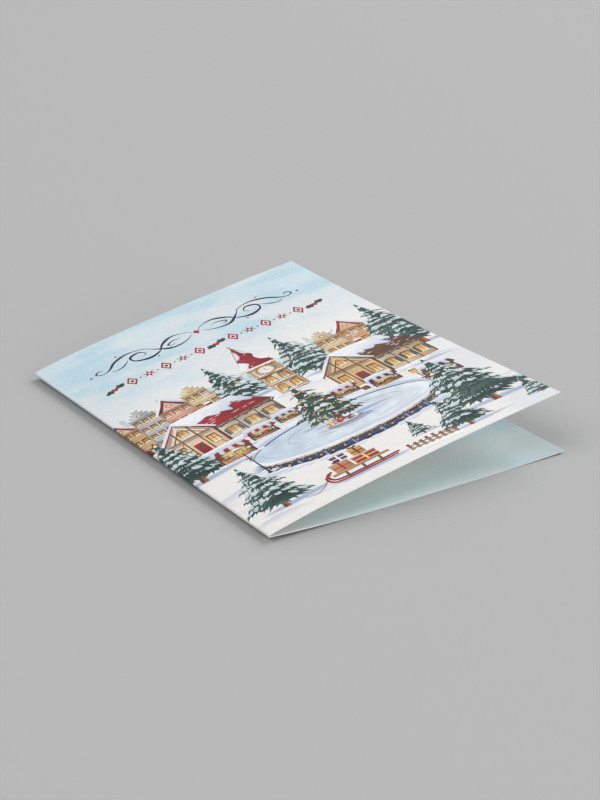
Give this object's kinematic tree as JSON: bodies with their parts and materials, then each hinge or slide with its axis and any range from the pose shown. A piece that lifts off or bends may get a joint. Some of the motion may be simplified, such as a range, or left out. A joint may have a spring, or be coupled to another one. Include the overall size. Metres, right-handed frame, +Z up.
{
  "type": "greeting card",
  "caption": "Folded greeting card of coated board with a printed cover, lying on its back leaf with the cover sprung open.",
  "frame": {"origin": "on the table, under the middle of the card's box", "axes": "+Y along the fold towards the top of the page, +X from the fold to the fore edge, +Z up from the table"},
  "size_m": [0.1204, 0.18, 0.0237],
  "materials": {
    "coated_board": "satin coated, printed outside and inside"
  },
  "bodies": {
    "root": {"folded_card": "coated_board"}
  },
  "joints": []
}
